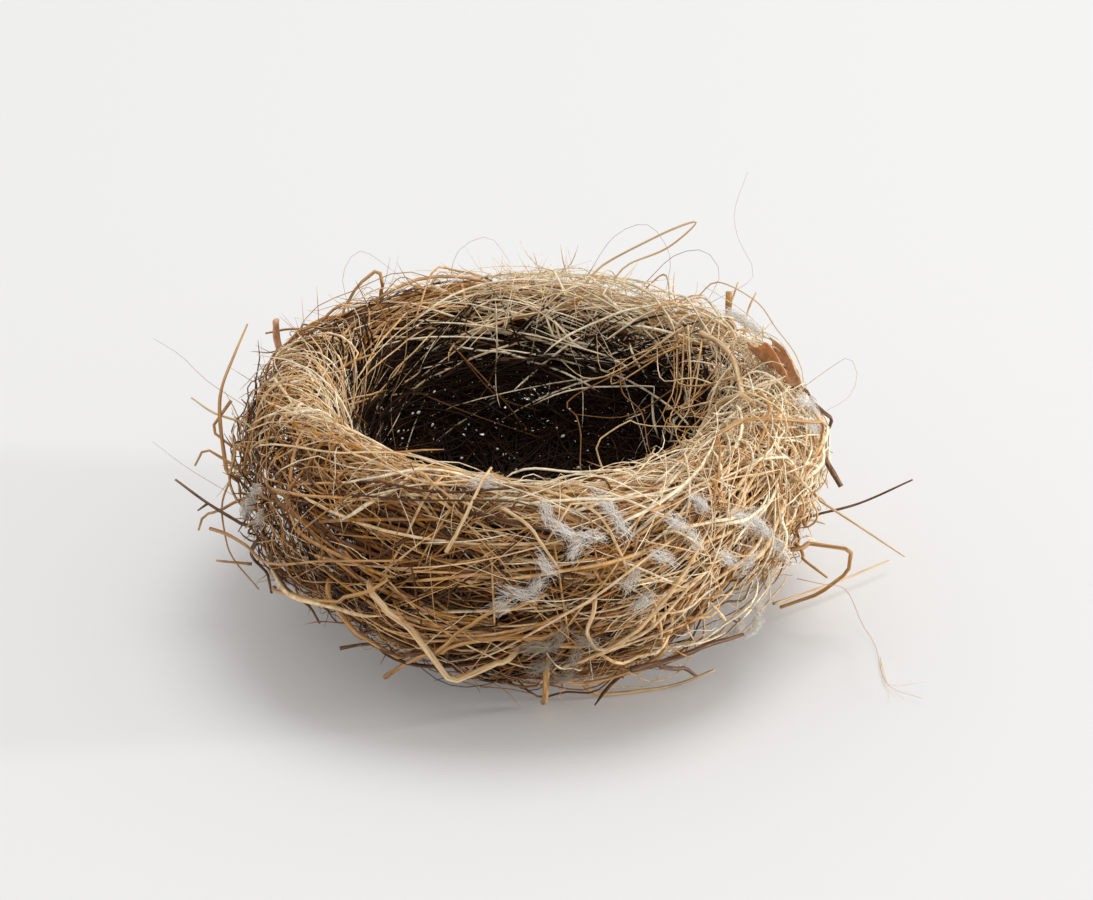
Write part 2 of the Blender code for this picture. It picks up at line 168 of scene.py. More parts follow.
class Strands:
    """Closed tubes that end up in one mesh."""

    def __init__(self):
        self.points, self.corners, self.counts, self.places = [], [], [], []
        self.total = 0

    def add(self, paths, halves, tones, sides=4, flat=1.0, hint=(0.1, 0.2, 1.0), whole=False):
        """paths is (n, k, 3), halves the half widths (n, k), tones (n,) from 0 dark to 1 pale. With whole,
        each tube takes the whole map, its length going up it."""
        n, k, _ = paths.shape
        along = unit(np.gradient(paths, axis=1))
        side = np.empty_like(paths)
        start = np.broadcast_to(np.asarray(hint, float), (n, 3))
        for i in range(k):
            start = unit(start - along[:, i] * (start * along[:, i]).sum(-1, keepdims=True))
            side[:, i] = start
        up = np.cross(along, side)
        turns = math.tau * np.arange(sides) / sides
        flat = np.broadcast_to(np.asarray(flat, float), (n,))[:, None, None, None]
        ring = side[:, :, None] * np.cos(turns)[:, None] + flat * up[:, :, None] * np.sin(turns)[:, None]
        points = paths[:, :, None] + halves[:, :, None, None] * ring
        points[..., 2] = np.maximum(points[..., 2], GROUND)
        self.points.append(points.reshape(-1, 3))

        first = self.total + (np.arange(n) * k * sides)[:, None]
        low = first[:, None] + (np.arange(k - 1) * sides)[:, None]
        high = low + sides
        here, after = np.arange(sides), (np.arange(sides) + 1) % sides
        quads = np.stack([low + here, low + after, high + after, high + here], axis=-1)
        self.corners.append(quads.reshape(-1))
        self.counts.append(np.full(n * (k - 1) * sides, 4))

        column = np.clip((tones * COLUMNS).astype(int), 0, COLUMNS - 1)
        left = ((column + COLUMN_EDGE) / COLUMNS)[:, None, None]
        share, stretch = (1 - 2 * COLUMN_EDGE) / COLUMNS / sides, STRAND_RUN
        bottom = rng.uniform(0.01, 0.99 - STRAND_RUN, n)[:, None, None]
        if whole:
            left = bottom = np.full((n, 1, 1), WHOLE_EDGE)
            share, stretch = (1 - 2 * WHOLE_EDGE) / sides, 1 - 2 * WHOLE_EDGE
        level = bottom + stretch * (np.arange(k) / (k - 1))[:, None]
        u_here, u_after = left + share * here, left + share * (here + 1)
        v_low, v_high = level[:, :-1], level[:, 1:]
        places = [
            np.stack(np.broadcast_arrays(u, v), -1)
            for u, v in ((u_here, v_low), (u_after, v_low), (u_after, v_high), (u_here, v_high))
        ]
        self.places.append(np.stack(places, axis=-2).reshape(-1, 2))

        for cap, v in ((first + here[::-1], bottom), (first + (k - 1) * sides + here, bottom + stretch)):
            self.corners.append(cap.reshape(-1))
            self.counts.append(np.full(n, sides))
            across = left[:, 0] + (0.4 + 0.3 * np.cos(turns)) / COLUMNS
            self.places.append(np.stack([across, v[:, 0] + 0.004 * np.sin(turns)], -1).reshape(-1, 2))
        self.total += n * k * sides
        return self

    def piece(self, name, look, slot, *nodes):
        mesh = bpy.data.meshes.new(name)
        points, corners, counts = (np.concatenate(part) for part in (self.points, self.corners, self.counts))
        mesh.vertices.add(len(points))
        mesh.vertices.foreach_set("co", points.astype(np.float32).ravel())
        mesh.loops.add(len(corners))
        mesh.loops.foreach_set("vertex_index", corners.astype(np.int32))
        mesh.polygons.add(len(counts))
        mesh.polygons.foreach_set("loop_start", (np.cumsum(counts) - counts).astype(np.int32))
        mesh.update(calc_edges=True)
        stand_in(mesh, np.concatenate(self.places), look, slot, *nodes)


def linked(name, data):
    """A new object with this data, in the scene."""
    made = bpy.data.objects.new(name, data)
    bpy.context.scene.collection.objects.link(made)
    return made


def stand_in(mesh, places, look, slot, *nodes):
    """Shows the mesh in place of these solids. places holds each face corner's place on the map."""
    mesh.uv_layers.new(name=UV_MAP).uv.foreach_set("vector", np.asarray(places, np.float32).ravel())
    mesh.shade_smooth()
    mesh.materials.append(look)
    piece = linked(mesh.name, mesh)
    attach(piece, "root")
    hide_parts(*nodes)


# -------- materials


NOISE_RANGE = (0.3, 0.7)  # noise mostly keeps to this
STEM_STREAKS = (0.32, 0.68)  # the noise at a stem's darkest and palest streaks
STRAND_STREAKS = (0.85, 1.12)  # how much streaks darken and brighten a strand
STRAND_HUES = (0.487, 0.511)  # 0.5 keeps the hue
STRAND_SATURATIONS = (0.8, 1.2)


def linear(rgb):
    """A colour given as 8-bit sRGB."""
    values = [c / 255 for c in rgb]
    return [c / 12.92 if c <= 0.04045 else ((c + 0.055) / 1.055) ** 2.4 for c in values]


def new_look(name):
    """A new material, its node tree and its Principled shader."""
    made = bpy.data.materials.new(name)
    made.use_nodes = True
    return made, made.node_tree, made.node_tree.nodes["Principled BSDF"]


def node(tree, kind, inputs, **settings):
    """A new node. Each input is a value, or another node's output to link it to."""
    made = tree.nodes.new(kind)
    for name, value in settings.items():
        setattr(made, name, value)
    for name, value in inputs.items():
        if isinstance(value, bpy.types.NodeSocket):
            tree.links.new(value, made.inputs[name])
        else:
            made.inputs[name].default_value = value
    return made


def worked_out(tree, operation, first, second=0.0):
    """The result of a Math node."""
    return node(tree, "ShaderNodeMath", {0: first, 1: second}, operation=operation).outputs[0]


def map_place(tree):
    """The place on the map that a mesh gives."""
    return node(tree, "ShaderNodeUVMap", {}, uv_map=UV_MAP).outputs["UV"]


def noise(tree, place, stretch, detail, roughness=0.5):
    """A noise texture read at a place that is stretched by this much along each axis."""
    stretched = node(tree, "ShaderNodeVectorMath", {0: place, 1: stretch}, operation="MULTIPLY")
    inputs = {"Vector": stretched.outputs[0], "Scale": 1.0, "Detail": detail, "Roughness": roughness}
    return node(tree, "ShaderNodeTexNoise", inputs).outputs


def between(tree, value, low, high):
    """Noise spread over the range from low to high."""
    first, last = NOISE_RANGE
    inputs = {"Value": value, "From Min": first, "From Max": last, "To Min": low, "To Max": high}
    return node(tree, "ShaderNodeMapRange", inputs).outputs[0]


def spaced(tones, first=0.0, last=1.0):
    """(place, colour) stops, spaced evenly from first to last."""
    return [(first + (last - first) * i / (len(tones) - 1), colour) for i, colour in enumerate(tones)]


def ramp(tree, value, stops):
    """The colour of a value between stops of (place, 8-bit sRGB)."""
    made = node(tree, "ShaderNodeValToRGB", {"Fac": value})
    elements = made.color_ramp.elements
    for i, (at, colour) in enumerate(stops):
        stop = elements[i] if i < 2 else elements.new(at)
        stop.position = at
        stop.color = (*linear(colour), 1)
    return made.outputs["Color"]


def strand_look(name, tones, roughness=(0.45, 0.7), mottle=0.35, specular=0.35):
    """A strand's tone comes from its column, with streaks along it and blotches across it. tones are sRGB."""
    made, tree, shader = new_look(name)
    place = map_place(tree)
    split = node(tree, "ShaderNodeSeparateXYZ", {"Vector": place})
    column = worked_out(tree, "FLOOR", worked_out(tree, "MULTIPLY", split.outputs["X"], COLUMNS))
    tone = worked_out(tree, "DIVIDE", column, COLUMNS)
    # One random number for each column and stretch of its height, so that strands of one tone differ.
    own = node(tree, "ShaderNodeCombineXYZ", {"X": column, "Y": split.outputs["Y"]}).outputs[0]
    patches = noise(tree, own, (7.7, 60.0, 1.0), 3.0, 0.6)
    streaks = noise(tree, place, (COLUMNS * 9.0, 22.0, 1.0), 2.0)
    blotches = between(tree, patches["Fac"], 1 - mottle, 1 + mottle)
    chances = node(tree, "ShaderNodeSeparateColor", {"Color": patches["Color"]}).outputs
    tint = node(tree, "ShaderNodeHueSaturation", {
        "Hue": between(tree, chances["Green"], *STRAND_HUES),
        "Saturation": between(tree, chances["Blue"], *STRAND_SATURATIONS),
        "Value": worked_out(tree, "MULTIPLY", blotches, between(tree, streaks["Fac"], *STRAND_STREAKS)),
        "Color": ramp(tree, tone, spaced(tones)),
    })
    tree.links.new(tint.outputs["Color"], shader.inputs["Base Color"])
    tree.links.new(between(tree, patches["Fac"], *roughness), shader.inputs["Roughness"])
    shader.inputs["Specular IOR Level"].default_value = specular
    return made


def stem_look(name, tones, roughness=0.5):
    """Streaks along a stem that is a piece of its own, and slow changes of tone along its length."""
    made, tree, shader = new_look(name)
    streaks = noise(tree, map_place(tree), (7.0, 5.0, 1.0), 4.0, 0.65)
    tree.links.new(ramp(tree, streaks["Fac"], spaced(tones, *STEM_STREAKS)), shader.inputs["Base Color"])
    shader.inputs["Roughness"].default_value = roughness
    return made


def leaf_look():
    """Brown over the curl and orange on the flap, with blotches."""
    made, tree, shader = new_look("dead_leaf")
    place = map_place(tree)
    across = node(tree, "ShaderNodeSeparateXYZ", {"Vector": place}).outputs["X"]
    tint = node(tree, "ShaderNodeHueSaturation", {
        "Value": between(tree, noise(tree, place, (6.0, 14.0, 1.0), 4.0)["Fac"], 0.6, 1.3),
        "Color": ramp(tree, across, LEAF_STOPS),
    })
    tree.links.new(tint.outputs["Color"], shader.inputs["Base Color"])
    shader.inputs["Roughness"].default_value = 0.55
    return made


GRASS = strand_look("dry_grass_strands", [
    (42, 25, 13), (87, 54, 28), (144, 95, 48), (195, 142, 82), (230, 184, 126), (246, 214, 166),
    (252, 238, 208),
])
ROOTLETS = strand_look(
    "rootlet_strands", [(32, 20, 14), (48, 31, 21), (76, 50, 33), (122, 84, 53), (170, 124, 78)], specular=0.15
)
DOWN = strand_look(
    "down_fibres",
    [(122, 104, 84), (184, 170, 150), (234, 226, 214), (253, 250, 245)],
    roughness=(0.8, 0.95),
    mottle=0.08,
)
GRASS_STEM = stem_look("dry_grass_stem", [(120, 78, 38), (176, 124, 66), (206, 158, 96), (224, 186, 130)])
PALE_STEM = stem_look("pale_straw_stem", [(166, 122, 74), (212, 170, 116), (236, 206, 160), (246, 228, 194)])
BROWN_STEM = stem_look("brown_stem", [(54, 37, 28), (92, 64, 44), (134, 96, 66), (182, 142, 102)], 0.65)
LEAF_BLADE = stem_look("dead_leaf_blade", [(186, 128, 92), (214, 158, 120), (230, 184, 148)], 0.6)
LEAF_STOPS = ((0.05, (224, 184, 142)), (0.3, (178, 128, 86)), (0.7, (200, 146, 98)), (0.9, (238, 162, 108)))


# -------- how strands run


def flow(angle, turn):
    """The heading that the wound grass follows here, in radians up from the level."""
    waves = 0.12 * np.sin(2 * angle + 0.5 + 1.2 * turn) + 0.16 * np.sin(5 * angle - 2 * turn + 2)
    rim = np.clip((turn - 1.0) / 0.6, 0, 1)
    into_cup = 0.75 * near(angle, math.pi, 0.8) * rim
    rising = 0.6 * near(angle, math.radians(-44), 0.55) - 0.1 * near(angle, math.radians(-122), 0.4)
    return waves + into_cup + rising * (1 - rim)


def unruly(angle):
    """How much wilder than elsewhere the grass runs, wildest on the right-hand side."""
    return 1 + near(angle, math.radians(-5), 0.8) + 0.6 * near(angle, math.radians(-170), 0.4)


def thickness(angle, turn):
    """The share of the grass that is there: less at the left, low down at the right and along the back."""
    side = near(angle, math.radians(-168), 0.5) * np.exp(-(((turn + 0.2) / 0.9) ** 2))
    low = near(angle, math.radians(-34), 0.5) * np.clip((0.1 - turn) / 0.4, 0, 1)
    back = near(angle, math.radians(140), 0.35) * np.clip((turn - 0.8) / 0.5, 0, 1)
    behind = near(angle, math.radians(38), 0.4) * np.clip((turn - 0.3) / 0.5, 0, 1)
    return 1 - 0.82 * side - 0.84 * low - 0.5 * back - 0.5 * behind


def middles(count, turns, angles=(-180, 180)):
    """Places spread evenly over the wall between two section turns in degrees."""
    found = np.empty((0, 2))
    while len(found) < count:
        angle = np.radians(rng.uniform(*angles, 4 * count))
        turn = np.radians(rng.uniform(*turns, 4 * count))
        radius, _ = section(angle, turn)
        area = radius * np.hypot(*slope(angle, turn)) / (BELLY_RADIUS * BELLY_HEIGHT)
        kept = rng.random(4 * count) < area
        found = np.concatenate([found, np.stack([angle, turn], -1)[kept]])
    return found[:count, 0], found[:count, 1]


def wander(angle, turn, heading, length, bend, steps, sway=0.0, kink=0.0):
    """Angles and turns (n, steps) of strands that cross the wall's surface, each through its middle point, at
    a heading from the flow there and with a steady bend in radians a metre. The share kink turn a corner."""
    n = len(angle)
    angles, turns = np.empty((n, steps)), np.empty((n, steps))
    middle = steps // 2
    stride = length / (steps - 1)
    kinked = rng.random(n) < kink
    corner = rng.integers(2, max(3, steps - 2), n)
    corner_turn = rng.choice([-1, 1], n) * rng.uniform(0.5, 1.7, n)
    for way in (1, -1):
        at, over, toward = angle.copy(), turn.copy(), heading + flow(angle, turn)
        angles[:, middle], turns[:, middle] = at, over
        last = steps if way > 0 else -1
        for i in range(middle + way, last, way):
            radius, _ = section(at, over)
            dr, dz = slope(at, over)
            at = at + way * stride * np.cos(toward) / np.maximum(radius, 0.01)
            over = over + way * stride * np.sin(toward) / np.hypot(dr, dz)
            over = np.clip(over, -math.pi / 2, 1.35 * math.pi)
            toward = toward + way * bend * stride + rng.normal(0, 1, n) * sway
            toward = toward + np.where(kinked & (corner == i), corner_turn, 0)
            angles[:, i], turns[:, i] = at, over
    return angles, turns


def rises(n, steps, low, lift, often):
    """How far out of the surface each strand runs: its own depth, an over-and-under, and ends that dive into
    the wall, but for the share often of them, which lift off it."""
    share = np.linspace(-1, 1, steps)[None]
    over = WEAVE * np.sin(rng.uniform(2, 7, n)[:, None] * share + rng.uniform(0, math.tau, n)[:, None])
    ends = np.zeros((n, steps))
    for way in (1, -1):
        lifted = rng.random(n) < often
        much = np.where(lifted, rng.uniform(0.3, 1, n) * lift, -rng.uniform(0.3, 1.6, n) * DIVE)
        ends += much[:, None] * np.maximum(0, way * share) ** np.where(lifted, 3, 6)[:, None]
    return low[:, None] + over + ends


def widths(n, steps, wide):
    """Half widths that thin out towards one end."""
    share = np.linspace(0, 1, steps)[None]
    narrow = rng.uniform(NARROWEST, 1, n)[:, None]
    tips = np.minimum(1, 0.35 + 6 * np.minimum(share, 1 - share))
    return wide[:, None] / 2 * tips * (narrow + (1 - narrow) * np.sqrt(np.maximum(0, 1 - share**2.2)))


# -------- the grass wall


def grass_tone_and_painted_light(angle, turn, depth, base):
    """Paler up at the rim and darker low down (own tone and painted light), in patches, with painted light on
    the right and inner faces and painted shade at the left, front and deep inside.
    """
    _, height = section(angle, turn)
    # Paler up at the rim and darker low down: partly the grass's own tone, partly painted light from above.
    high = (height - 0.028) / 0.022
    # Painted light and shade: paler on the right, where the light falls, darker at the left and front, which
    # lie in shade.
    side = 0.25 * np.cos(angle - math.radians(-5)) - 0.14 * near(angle, math.radians(-98), 0.45)
    inside = np.clip((turn - 0.7) / 0.5, 0, 1)
    left, back = near(angle, math.radians(180), 0.6), near(angle, math.radians(75), 0.5)
    # Painted light on the cup's inner faces that catch the light, most at the left and back, less at the back
    # left.
    behind = inside * (0.07 + 0.2 * left + 0.3 * back - 0.2 * near(angle, math.radians(130), 0.3))
    patches = 0.07 * np.sin(7 * angle + 2 * turn) * np.sin(5 * turn - 3 * angle)
    # Painted shade: strands below the surface are darker, less so where the weave is open and lets light
    # through.
    dark = PAINTED_SHADE_DEEP * np.maximum(0, depth) * thickness(angle, turn)
    return base + 0.12 * np.maximum(high, -0.4) + side + behind + patches - dark


WALL_GRASS = (GRASS, "dry_grass", "grass_wall")


def grass_layer(
    into, count, turns, depth, wide, length, each=(1, 3), steps=11, spread=0.3, crossing=0.26, lift=5,
    often=0.05, base=0.63, angles=(-180, 180), sparse=2, bulge=0.0,
):
    """Bundles of grass wound round the wall, with a number of strands in the range each. turns and angles are
    ranges in degrees, and depth, wide, length, lift and bulge are in mm. spread is how far headings stray,
    crossing the share of bundles that run across the rest, often the share of ends that lift off and base the
    tone. The higher sparse is, the fewer strands pass where the weave is open. bulge bows them outward."""
    angle, turn = middles(count, turns, angles)
    wild = unruly(angle)
    heading = rng.normal(0, spread, count) * wild
    across = rng.random(count) < crossing * wild
    heading = np.where(across, rng.choice([-1, 1], count) * rng.uniform(0.5, 1.45, count), heading)
    paler = 0.18 * rng.normal(0, 1, count)
    sunk = depth[0] + (depth[1] - depth[0]) * rng.random(count) ** 0.7
    owner = np.repeat(np.arange(count), rng.integers(each[0], each[1] + 1, count))
    n = len(owner)
    radius, _ = section(angle[owner], turn[owner])
    angle = angle[owner] + rng.normal(0, 0.008, n) / radius
    turn = turn[owner] + rng.normal(0, 0.09, n)
    heading = heading[owner] + rng.normal(0, 0.15, n) * np.where(across[owner], 3, wild[owner])
    long = rng.uniform(*length, n) * MM / wild[owner] ** 0.7
    long = np.where(across[owner], 0.6 * long, long)
    low = -(sunk[owner] + rng.uniform(-0.7, 0.7, n)) * MM
    bend = rng.normal(0, 6, n)
    around, over = wander(angle, turn, heading, long, bend, steps, sway=0.03, kink=0.12 * wild[owner])
    out = rises(n, steps, low, lift * MM, often)
    out += bulge * MM * rng.random((n, 1)) ** 2 * (1 - np.linspace(-1, 1, steps) ** 2)
    tones = grass_tone_and_painted_light(angle, turn, -low, base) + paler[owner] + rng.normal(0, 0.14, n)
    tones = np.clip(tones, np.where(low > -0.002, 0.15, 0.02), 0.98)
    wide = (wide[0] + (wide[1] - wide[0]) * rng.random(n) ** 2) * MM
    kept = rng.random(n) < thickness(around, over).min(axis=1) ** sparse
    points, halves = wall_point(around, over, out)[kept], widths(n, steps, wide)[kept]
    into.add(points, halves, tones[kept], 3, rng.uniform(0.3, 1, len(points)))


def grass_wall():
    deep = Strands()
    grass_layer(deep, 400, (-88, 165), (4, 8), (0.6, 1.1), (18, 40), (3, 5), 9, often=0, base=0.72, sparse=5)
    deep.piece("wall_grass_deep", *WALL_GRASS)
    for name, turns in (("wall_grass_low", (-88, 0)), ("wall_grass_high", (-4, 85))):
        layer = Strands()
        grass_layer(layer, 560, turns, (0.2, 5.0), (0.25, 1.0), (28, 80), (2, 5), 12)
        grass_layer(layer, 50, turns, (-0.8, 0.6), (0.5, 1.1), (20, 60), steps=13, spread=0.2, crossing=0.12,
                    base=0.62, bulge=3)
        layer.piece(name, *WALL_GRASS)
    loose = Strands()
    grass_layer(loose, 130, (-60, 95), (-0.5, 1.5), (0.2, 0.6), (15, 50), spread=0.4, crossing=0.25,
                base=0.60, bulge=4)
    grass_layer(loose, 440, (-60, 100), (-1.5, 3.0), (0.2, 0.9), (14, 42), crossing=0.3, often=0.15,
                base=0.70, angles=(-72, 50), bulge=3)
    grass_layer(loose, 120, (-50, 55), (-0.8, 3.5), (0.3, 0.8), (18, 45), crossing=1.0, lift=6, often=0.1,
                base=0.66, angles=(-210, -142), sparse=0, bulge=2)
    grass_layer(loose, 480, (-60, 100), (-1.0, 1.5), (0.12, 0.3), (10, 32), spread=0.5, crossing=0.45, lift=3,
                often=0.2, base=0.74, bulge=2)
    grass_layer(loose, 120, (35, 95), (-2.0, 1.0), (0.15, 0.4), (14, 30), (1, 2), spread=0.4, crossing=0.8,
                lift=8, often=0.5, base=0.66, angles=(5, 165))
    loose.piece("wall_grass_loose", *WALL_GRASS)
    rim = Strands()
    grass_layer(rim, 400, (68, 190), (-1.0, 3.4), (0.18, 0.8), (20, 70), (2, 5), 13, crossing=0.25, lift=6,
                often=0.12, base=0.84, bulge=2)
    rim.piece("rim_grass", *WALL_GRASS)
    inner = Strands()
    grass_layer(inner, 60, (105, 185), (-0.8, 1.0), (0.25, 0.55), (25, 45), (3, 6), 13, spread=0.2,
                crossing=0, base=0.80, angles=(140, 215))
    inner.piece("inner_left_grass", *WALL_GRASS)


def underside():
    """Grass lying across the flat underside."""
    n, steps = 420, 10
    angle = rng.uniform(-math.pi, math.pi, n)
    radius = BASE_RADIUS * np.sqrt(rng.random(n))
    heading = angle + math.pi / 2 + rng.normal(0, 0.5, n)
    share = np.linspace(-0.5, 0.5, steps)[None]
    long = rng.uniform(18, 45, n)[:, None] * MM
    bend = rng.uniform(0, 18, n)[:, None] * long
    toward = heading[:, None] + bend * share
    x = (radius * np.cos(angle))[:, None] + long * share * np.cos(toward)
    y = (radius * np.sin(angle))[:, None] + long * share * np.sin(toward)
    height = rng.uniform(0.4, 3.0, n)[:, None] * MM + 0.0004 * np.sin(5 * share + angle[:, None])
    # The underside is drawn in at the front left.
    reach, _ = section(np.arctan2(y, x), np.full_like(x, -math.pi / 2))
    pull = np.minimum(1, (reach - 0.001) / np.maximum(np.hypot(x, y), 1e-6))
    paths = np.stack([x * pull, y * pull, height], -1)
    tones = np.clip(rng.normal(0.36, 0.14, n), 0.02, 0.95)
    halves = widths(n, steps, rng.uniform(0.6, 1.1, n) * MM)
    under = Strands().add(paths, halves, tones, 3, rng.uniform(0.4, 1, n))
    under.piece("underside_grass", *WALL_GRASS)


# -------- the rootlet cup


def onto_cup(points, outward):
    """Points moved onto the cup's bowl, this far outside its inner face. Above the throat it is upright."""
    radius = np.maximum(np.hypot(points[..., 0], points[..., 1]), 1e-9)
    deep = THROAT_HEIGHT - points[..., 2]
    bowl = np.maximum(deep, 0) / (CUP_DEEP + outward)
    reach = (radius / (CUP_RADIUS + outward)) ** CUP_SQUARENESS + bowl**CUP_SQUARENESS
    scale = 1 / reach ** (1 / CUP_SQUARENESS)
    height = THROAT_HEIGHT - np.where(deep > 0, deep * scale, deep)
    return np.stack([points[..., 0] * scale, points[..., 1] * scale, height], -1)


def over_cup(n, steps, length, outward, level):
    """Paths (n, steps, 3) of fibres that wander over the bowl and a little above it. The share level of them
    start out level."""
    spot = unit(rng.normal(0, 1, (n, 3)))
    spot[:, 2] = -np.abs(spot[:, 2])
    at = onto_cup(spot * 0.03 + (0, 0, THROAT_HEIGHT), outward)
    across = unit(np.cross(at - (0, 0, THROAT_HEIGHT), (0, 0, 1.0)) + 1e-9)
    leaning = across + rng.normal(0, 0.35, (n, 3))
    toward = unit(np.where((rng.random(n) < level)[:, None], leaning, rng.normal(0, 1, (n, 3))))
    stride = (length / (steps - 1))[:, None]
    turn = rng.normal(0, CUP_SWAY, n)[:, None]
    top = THROAT_HEIGHT + rng.uniform(-0.012, 0.006, n)
    paths = np.empty((n, steps, 3))
    paths[:, 0] = at
    for i in range(1, steps):
        after = onto_cup(at + toward * stride, outward)
        after[:, 2] = np.minimum(after[:, 2], top)
        toward = unit(after - at)
        out = unit(after - (0, 0, THROAT_HEIGHT))
        toward = unit(toward + np.cross(out, toward) * turn + rng.normal(0, 0.12, (n, 3)))
        at = after
        paths[:, i] = at
    return paths


def cup_lining():
    lining = Strands()
    for count, wide, length, outward, base in (
        (800, (0.5, 0.9), (18, 40), (1.2, 2.6), 0.10),
        (1150, (0.18, 0.4), (15, 45), (-0.4, 1.4), 0.28),
    ):
        steps = 11
        out = rng.uniform(*outward, count) * MM
        paths = over_cup(count, steps, rng.uniform(*length, count) * MM, out, level=0.55)
        tones = np.clip(rng.normal(base, 0.13, count), 0.02, 0.9)
        lining.add(paths, widths(count, steps, rng.uniform(*wide, count) * MM), tones, 3, 1.0)
    lining.piece("cup_rootlets", ROOTLETS, "rootlet", "cup_lining")


def flecks():
    """Small pale scraps lying among the rootlets."""
    count, steps = 340, 4
    at = over_cup(count, 2, np.full(count, 0.001), np.full(count, -0.0007), level=0.5)
    along = unit(at[:, 1] - at[:, 0])
    size = (0.1 + 0.3 * rng.random(count) ** 2)[:, None] * MM
    share = np.linspace(-1, 1, steps)
    paths = at[:, :1] + along[:, None] * (1.3 * size)[:, :, None] * share[None, :, None]
    halves = size * np.array([0.4, 1.0, 0.9, 0.3])[None]
    made = Strands().add(paths, halves, rng.uniform(0.75, 0.98, count), 5, 0.6)
    made.piece("lining_flecks", DOWN, "plant_down", "cup_lining")


# -------- named stems


def nest_outline(angle):
    """The nest's section at this angle, as corners of (radius, height) on the wall and then in the cup."""
    turns = np.concatenate([np.linspace(-90, 0, 7), np.linspace(0, 90, 7)[1:], np.linspace(90, 180, 6)[1:]])
    wall = np.stack(section(np.full_like(turns, angle), np.radians(turns)), -1)
    turn = np.linspace(0, math.pi / 2, 8)
    power = 2 / CUP_SQUARENESS
    bowl_radius = CUP_RADIUS * np.maximum(0, np.cos(turn)) ** power
    bowl = np.stack([bowl_radius, THROAT_HEIGHT - CUP_DEEP * np.sin(turn) ** power], -1)
    return np.concatenate([[(0, 0)], wall, bowl])


def from_nest(point):
    """(distance out of the nest, below 0 inside it, and the nearest point of its surface)."""
    angle = math.atan2(point[1], point[0])
    at = np.array((math.hypot(point[0], point[1]), point[2]))
    start = nest_outline(angle)
    run = np.roll(start, -1, axis=0) - start
    share = np.clip(((at - start) * run).sum(-1) / np.maximum((run**2).sum(-1), 1e-15), 0, 1)
    nearest = start + share[:, None] * run
    away = np.linalg.norm(at - nearest, axis=-1)
    best = away.argmin()
    spans = (start[:, 1] > at[1]) != (start[:, 1] + run[:, 1] > at[1])
    crossing = start[:, 0] + run[:, 0] * (at[1] - start[:, 1]) / np.where(spans, run[:, 1], 1)
    inside = np.count_nonzero(spans & (at[0] < crossing)) % 2
    return -away[best] if inside else away[best], polar(angle, *nearest[best])


def push_clear(point, need):
    """The point moved out of the nest, if it lies inside it or nearer to it than need."""
    away, nearest = from_nest(point)
    if away >= need:
        return point
    return nearest + (point - nearest) * need / (away if abs(away) > 1e-9 else 1e-9)


def placed(route):
    """The points of a route of (angle in degrees, radius in mm, height in mm)."""
    return [polar(math.radians(angle), radius * MM, height * MM) for angle, radius, height in route]


def smooth_path(points):
    """A Catmull-Rom curve through the points, with a point about every STEM_STEP."""
    ends = [2 * points[0] - points[1], *points, 2 * points[-1] - points[-2]]
    path = []
    for before, start, end, after in zip(ends, ends[1:], ends[2:], ends[3:]):
        count = max(1, math.ceil(np.linalg.norm(end - start) / STEM_STEP))
        for i in range(count):
            t = i / count
            straight = 2 * start + (end - before) * t
            bend = (2 * before - 5 * start + 4 * end - after) * t**2
            twist = (3 * start - before - 3 * end + after) * t**3
            path.append((straight + bend + twist) / 2)
    return [*path, points[-1]]


def kinked_path(points):
    """Straight runs between the points, a point about every STEM_STEP, and each kink rounded a little."""
    corners = [points[0]]
    for before, point, after in zip(points, points[1:], points[2:]):
        for other in (before, after):
            away = np.linalg.norm(other - point)
            corners.append(point + (other - point) * min(KINK_ROUNDING, away / 3) / away)
    corners.append(points[-1])
    path = []
    for start, end in zip(corners, corners[1:]):
        count = math.ceil(np.linalg.norm(end - start) / STEM_STEP)
        path += [start + (end - start) * i / count for i in range(count)]
    return [*path, points[-1]]


def run_into_nest(path, half):
    """The path with each end that touches the nest run on into it. Ends that lie on the ground stay on it."""
    for _ in range(2):
        path = path[::-1]
        away, nearest = from_nest(path[-1])
        if away > half + GAP + TOUCHING:
            continue
        inward = unit(nearest - path[-1])
        toward = unit(path[-1] - path[-2])
        for step, steep in RUN_IN:
            on = path[-1] + unit(toward + steep * inward) * step
            on[2] = max(on[2], half)
            path = [*path, on]
    return path


def stem(look, slot, name, width, route, kinked=False, flat=1.0, taper=0.6, over=0.0, shoots=()):
    """A tube along a route, clear of the nest but for its ends. flat is its thickness over its width, over
    lifts it past a stem that it crosses, and shoots are routes of side shoots."""
    made = Strands()
    for at, corners in enumerate((route, *shoots)):
        points = placed(corners)
        half = width * MM / 2 * (SHOOT_SHARE if at else 1)
        need = half + GAP + LIFT + over * MM
        path = [push_clear(point, need) for point in (kinked_path(points) if kinked else smooth_path(points))]
        path = [np.array((x, y, max(z, half + GAP))) for x, y, z in path]
        path = np.array(run_into_nest(path, half))
        share = np.linspace(0, 1, len(path))
        uneven = 1 + 0.05 * np.sin(17 * share + width) + 0.03 * np.sin(41 * share)
        halves = half * (1 - (1 - taper) * share) * uneven
        side = np.cross((path[0][0], path[0][1], 0), path[1] - path[0])
        made.add(path[None], halves[None], np.array([0.5]), STEM_SIDES, flat, side, whole=True)
    made.piece(f"fine_{name}", look, slot, name)


grass_stem = partial(stem, GRASS_STEM, "dry_grass")
pale_stem = partial(stem, PALE_STEM, "pale_straw")
brown_stem = partial(stem, BROWN_STEM, "brown_stem")
leaf_blade = partial(stem, LEAF_BLADE, "dead_leaf")


